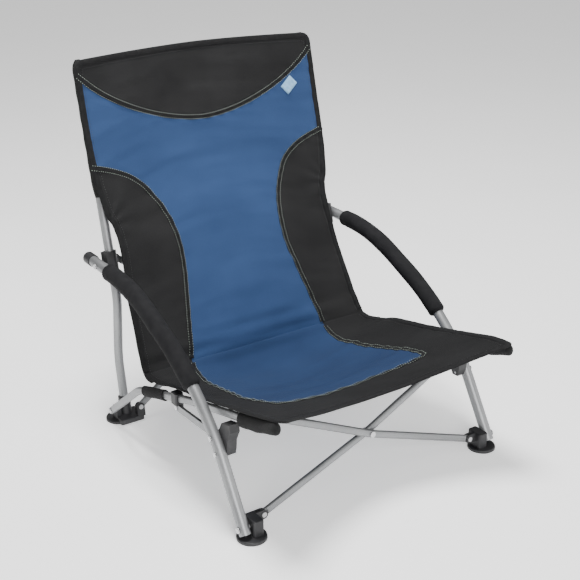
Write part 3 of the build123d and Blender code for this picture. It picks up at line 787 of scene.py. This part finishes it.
# each panel's body, slot, low and high end, seams besides the blue centre's side seam, and outline
PANELS = {
    "back": ("rear_left", "back_cloth", CREASE + 2, TOP + 1, [HEAD],
             (CREASE + 2, TOP, level(TOP))),
    "seat": ("seat_sling", "seat_cloth", -3, CREASE, [],
             (CREASE, FRONT_EDGE, front_line)),
}
trims = {}
for panel, (body, slot, low, high, extra, ends) in PANELS.items():
    seams = part_of(SIDE_SEAM, low - TAPE_TAIL, high) + extra
    tapes = strips(f"{panel}_seam_tape", seams, TAPE_HALF, TAPE_HIGH, TAPE_LIFT)
    binding = strips(f"{panel}_edge_binding", [outline_path(*ends, BINDING_INSET)],
                     BINDING_HALF, BINDING_HIGH, BINDING_LIFT)
    rows = [beside(*even(l, v, PATH_PITCH), offset)
            for l, v in seams for offset in (-SEAM_STITCH, SEAM_STITCH)]
    thread_rows = stitches(f"{panel}_seam_stitches", rows, SEAM_STITCH_LIFT)
    edge_threads = stitches(f"{panel}_edge_stitches", [outline_path(*ends, EDGE_STITCH)],
                            EDGE_STITCH_LIFT)
    trims[panel] = [tapes, binding, thread_rows, edge_threads]
    for piece, material in zip(trims[panel], (binding_tape, binding_tape, seam_thread, edge_thread)):
        finish_piece(piece, material, body, SLING_SQUASH)

# a plain patch, with nothing on it, sewn on below the head seam
PATCH_MIDDLE = (852.0, 0.775)                   # along the cloth and across it
PATCH_REACH = np.linspace(-11.5, 11.5, 8)       # its run, at 45 degrees to the cloth's length
PATCH_HALF, PATCH_HIGH, PATCH_LIFT = 10.8, 0.6, 1.4
patch_path = (PATCH_MIDDLE[0] + PATCH_REACH, PATCH_MIDDLE[1] + PATCH_REACH / WIDTH)
patch = strips("plain_patch", [patch_path], PATCH_HALF, PATCH_HIGH, PATCH_LIFT)
finish_piece(patch, patch_cloth, "rear_left", SLING_SQUASH)
trims["back"].append(patch)

# ---------------------------------------------------------------- sleeves and grips

# paths are depth and height in millimetres, in the plane of a tube
POST_LOW, POST_TOP = (497.6, 415.0), (551.5, 637.0)       # the straight upper post
POST_SLEEVE_SHIFT = (-1.5, 0)
POST_SLEEVE_HALF = (11.6, 10.6)         # its half width and half depth
POST_SLEEVE_WALL = 1.3
POST_SLEEVE_WAVE = (0.35, 0.9)          # how far its creases stand out, and radians from point to point
MOUTH_TAPER, MOUTH_POINTS = 0.2, 5      # its lower end narrows by this share, over this many points
CLOSING_STEPS, CLOSING_LAST = 6, 0.35   # and its top over these, to this share
SLEEVE_KEEP = 0.35              # the share of its length that a post sleeve keeps as the chair folds
# the seat rail's middle line from its rear pivot to its tip, its bends, and how far out it stands
RAIL_ROUTE = [(447.0, 24.0), (329.0, 118.0), (190.0, 150.0), (-40.0, 210.0)]
RAIL_BENDS = (70.0, 220.0)
RAIL_X = 231.0
RAIL_SPREAD = (25.5, 190.0, 139.0)  # how far the rail bends out, from which depth, over how much
RAIL_NOSE = (-61.5, 215.6)      # the end of the pocket, beyond the rail's tip
NOSE_BEND = 400.0
NOSE_ROUND = 7.0                # how round that end is
NOSE_GROWTH = 60.0              # the pocket reaches its full size this far behind its nose
RAIL_SLEEVE_WALL = 1.2
RAIL_SLEEVE_WAVE = (0.3, 0.16)  # how far its creases stand out, and radians a millimetre
# which sleeve, its low and high depth, half width and half height as (at the nose, growth behind it),
# its rise at the nose and its drop behind it, and the radius that its flat width comes from
RAIL_SLEEVES = (
    ("front", -70.0, 38.0, (7.8, 1.0), (9.8, 2.4), (1.0, 3.0), 10.4),
    ("rear", 258.0, 316.0, (7.4, 0.0), (9.6, 0.0), (0.0, 0.0), 8.6),
)
# the armrest and leg's middle line from the front foot, its bends, and where the grip lies on it
ARM_ROUTE = [(-3.0, 11.0), (74.0, 136.0), (157.0, 220.5), (342.0, 301.0), (508.0, 303.5)]
ARM_BENDS = (250.0, 430.0, 330.0)
GRIP_FRONT, GRIP_REAR = 144.0, 430.0
GRIP_RADIUS, GRIP_BORE = 15.0, 10.2     # the foam's outer and inner radius
GRIP_SPACING = 3.0                      # between the points along it
GRIP_WAVE = (0.012, 0.21)               # how far it swells, as a share, and radians from point to point
LIP, LIP_LENGTH = 0.30, 6.0             # how far the grip's ends round in, and over what length
LIP_GROOVE, GROOVE_AT, GROOVE_SPREAD = 0.02, 14.0, 20.0     # the shallow groove behind each lip


def placed(path, x):
    """A path in depth and height, in millimetres, put at x metres."""
    return np.stack([np.full(len(path), x), front + path[:, 0] * MM, path[:, 1] * MM], axis=1)


def closing(count, half):
    """Half widths along a post sleeve that rounds off towards its closed end."""
    wide = np.full(count, half)
    for i in range(CLOSING_STEPS):
        turn = math.pi / 2 * i / CLOSING_STEPS
        wide[count - 1 - i] = half * (CLOSING_LAST + (1 - CLOSING_LAST) * math.sin(turn))
    return wide


for side_name, side in (("left", -1), ("right", 1)):
    # the sleeve round the upper post, closed over the post's plug
    straight = np.linspace(POST_LOW, POST_TOP, 40) + POST_SLEEVE_SHIFT
    rise = np.array(POST_TOP) - np.array(POST_LOW)
    beyond = np.array([straight[-1] + rise / np.linalg.norm(rise) * past for past in (3, 6, 8)])
    line = placed(np.concatenate([straight, beyond]), side * post_x)
    crease, turn = POST_SLEEVE_WAVE
    wave = crease * np.sin(np.arange(len(line)) * turn + side)
    mouth = 1 - MOUTH_TAPER * np.clip(1 - np.arange(len(line)) / MOUTH_POINTS, 0, 1)
    wide, deep = (closing(len(line), half) * mouth + wave for half in POST_SLEEVE_HALF)
    sleeve = shell(f"post_sleeve_{side_name}", line, wide, deep, POST_SLEEVE_WALL, closed_end=True)
    axis = Vector(line[-1]) - Vector(line[0])
    finish_piece(sleeve, sleeve_cloth, f"rear_{side_name}",
                 (axis, tuple(line[-1]), SLEEVE_KEEP))

    # the sleeves round the seat rail: a pocket closed over its tip, and an open loop behind the clip
    rail = rounded(RAIL_ROUTE + [RAIL_NOSE], RAIL_BENDS + (NOSE_BEND,), 2.5)
    for part, low, high, half_wide, half_deep, (nose_rise, drop), flat_radius in RAIL_SLEEVES:
        line = rail[(rail[:, 0] > low) & (rail[:, 0] < high)]
        from_nose = np.linalg.norm(line - rail[-1], axis=1)
        full = np.clip(from_nose / NOSE_GROWTH, 0, 1)
        nose = np.sqrt(1 - (1 - np.clip(from_nose / NOSE_ROUND, 0, 1))**2)
        spread, spread_from, spread_over = RAIL_SPREAD
        path = placed(line, side * RAIL_X * MM)
        path[:, 0] += side * MM * spread * np.clip((line[:, 0] - spread_from) / spread_over, 0, 1)
        path[:, 2] += (nose_rise - (nose_rise + drop) * full) * MM
        crease, turn = RAIL_SLEEVE_WAVE
        wave = crease * np.sin(from_nose * turn + side) * nose
        wide, deep = ((least + growth * full) * nose + wave
                      for least, growth in (half_wide, half_deep))
        loop = shell(f"rail_sleeve_{part}_{side_name}", path, wide, deep, RAIL_SLEEVE_WALL,
                     closed_end=part == "front")
        finish_piece(loop, sleeve_cloth, f"rail_{side_name}")
        if part == "rear":
            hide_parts(f"rail_sleeve_{side_name}")

    # the foam grip, with rounded lips
    arm = rounded(ARM_ROUTE, ARM_BENDS, GRIP_SPACING)
    line = arm[(arm[:, 0] > GRIP_FRONT) & (arm[:, 0] < GRIP_REAR)]
    count = len(line)
    from_end = np.minimum(np.arange(count), np.arange(count)[::-1]) * GRIP_SPACING
    lip = 1 - LIP * (1 - np.clip(from_end / LIP_LENGTH, 0, 1))**2
    groove = LIP_GROOVE * np.exp(-(from_end - GROOVE_AT)**2 / GROOVE_SPREAD)
    share, turn = GRIP_WAVE
    swell = 1 + share * np.sin(np.arange(count) * turn + side) - groove
    radius = GRIP_RADIUS * lip * swell
    grip = shell(f"arm_grip_{side_name}", placed(line, side * arm_x), radius, radius,
                 GRIP_RADIUS - GRIP_BORE, segments=40)
    finish_piece(grip, foam_material, f"arm_leg_{side_name}")
    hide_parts(f"arm_foam_{side_name}")

# ---------------------------------------------------------------- floor, light and camera

FLOOR_HALF = 14.0                   # half the floor's side
TARGET = (-25.7, 208.8, 290.7)      # what the camera looks at: x, depth and height
# each light's name, place, size and power
LIGHTS = (
    ("key_light", (-1.0, -2.9, 1.6), 1.5, 85),
    ("fill_light", (2.3, -2.0, 1.2), 2.0, 26),
    ("top_light", (-0.2, 0.3, 2.6), 0.9, 105),
)
WORLD_STRENGTH = 0.28


def floor_material():
    """A plain pale floor that gives off a little light of its own."""
    n = Nodes("studio_floor")
    mottle = n.noise(scale=3.0, detail=2.0)
    n.link(n.ramp(mottle, (0.86, 0.86, 0.86), (0.88, 0.88, 0.88)), n.shader.inputs["Base Color"])
    n.link(n.spread(mottle, low=0.75, high=0.85), n.shader.inputs["Roughness"])
    n.set(Emission_Color=(1, 1, 1, 1), Emission_Strength=0.6)
    return n.material


corners = [(-FLOOR_HALF, -FLOOR_HALF, 0), (FLOOR_HALF, -FLOOR_HALF, 0),
           (FLOOR_HALF, FLOOR_HALF, 0), (-FLOOR_HALF, FLOOR_HALF, 0)]
floor = new_mesh("studio_floor", corners, [(0, 1, 2, 3)], smooth=False)
floor.data.materials.append(floor_material())

target = Vector((TARGET[0] * MM, front + TARGET[1] * MM, TARGET[2] * MM))


def look(obj, at):
    """Turns a lamp or a camera towards a point."""
    obj.rotation_euler = (at - obj.location).to_track_quat("-Z", "Y").to_euler()


def soft_light(name, place, size, power):
    """A round area lamp that faces the chair."""
    data = bpy.data.lights.new(name, "AREA")
    data.shape = "DISK"
    data.size = size
    data.energy = power
    lamp = bpy.data.objects.new(name, data)
    bpy.context.scene.collection.objects.link(lamp)
    lamp.location = place
    look(lamp, target)


for light in LIGHTS:
    soft_light(*light)

world = bpy.data.worlds.new("studio")
world.use_nodes = True
background = world.node_tree.nodes["Background"]
background.inputs["Color"].default_value = (1, 1, 1, 1)
background.inputs["Strength"].default_value = WORLD_STRENGTH
bpy.context.scene.world = world

VIEW_AZIMUTH = math.radians(-34.39)
VIEW_ELEVATION = math.radians(22.87)
VIEW_DISTANCE = 1.9052
SENSOR_WIDTH = 36.0
LENS = 70.25
camera_data = bpy.data.cameras.new("camera")
camera_data.sensor_width = SENSOR_WIDTH
camera_data.lens = LENS
camera = bpy.data.objects.new("camera", camera_data)
bpy.context.scene.collection.objects.link(camera)
camera.location = target + VIEW_DISTANCE * Vector((
    math.sin(VIEW_AZIMUTH) * math.cos(VIEW_ELEVATION),
    -math.cos(VIEW_AZIMUTH) * math.cos(VIEW_ELEVATION),
    math.sin(VIEW_ELEVATION),
))
look(camera, target)
bpy.context.scene.camera = camera
